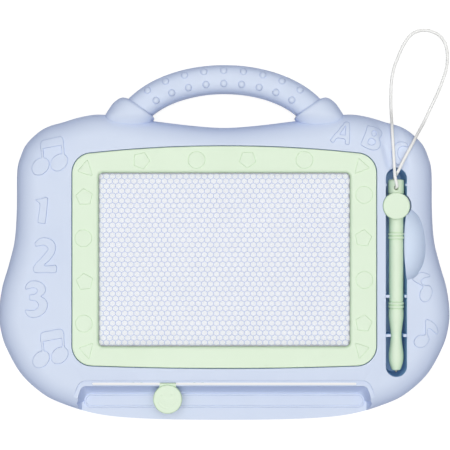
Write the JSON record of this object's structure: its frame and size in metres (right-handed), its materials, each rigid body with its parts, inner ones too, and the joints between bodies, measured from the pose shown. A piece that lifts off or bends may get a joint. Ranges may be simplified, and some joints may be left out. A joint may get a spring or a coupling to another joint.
{
  "type": "magnetic drawing board",
  "caption": "Handled children's magnetic drawing board with a honeycomb drawing window, a sliding eraser knob in a tray and a magnetic pen on a cord in a side channel.",
  "frame": {"origin": "bottom centre of the board's box, without the cord, with the flat back on z = 0", "axes": "+X across the board to the pen's side, +Y from the eraser tray to the handle, +Z out of the drawing face"},
  "size_m": [0.333, 0.2892, 0.0295],
  "materials": {
    "shell_blue": "satin moulded plastic",
    "frame_green": "satin moulded plastic",
    "clear_film": "clear plastic film",
    "cell_white": "white cells with bluish walls",
    "sheet_white": "matt white sheet",
    "magnet_rubber": "flexible magnet strip",
    "tip_metal": "dark polished magnet",
    "cord_fabric": "white braided cord",
    "screw_steel": "zinc plated steel"
  },
  "bodies": {
    "case": {"front_shell": "shell_blue", "back_shell": "shell_blue", "screen_frame": "frame_green", "screen_film": "clear_film", "honeycomb_core": "cell_white", "panel_back_sheet": "sheet_white", "shell_screw_1": "screw_steel", "shell_screw_2": "screw_steel", "shell_screw_3": "screw_steel", "shell_screw_4": "screw_steel", "shell_screw_5": "screw_steel", "shell_screw_6": "screw_steel", "shell_screw_7": "screw_steel", "shell_screw_8": "screw_steel"},
    "eraser": {"eraser_bar": "frame_green", "eraser_magnet": "magnet_rubber", "eraser_knob": "frame_green", "knob_pin_left": "screw_steel", "knob_pin_right": "screw_steel"},
    "pen": {"pen_barrel": "frame_green", "pen_end_cap": "frame_green", "pen_thumb_disc": "frame_green", "pen_tip_magnet": "tip_metal", "pen_cord": "cord_fabric", "cord_knot": "cord_fabric"}
  },
  "joints": [
    {"name": "eraser_slide", "type": "slide", "parent": "case", "child": "eraser", "axis": [1, 0, 0], "range_m": [-0.0487, 0.1309]},
    {"name": "pen_lift", "type": "slide", "parent": "case", "child": "pen", "axis": [0, 0, 1], "range_m": [0, 0.04]}
  ]
}
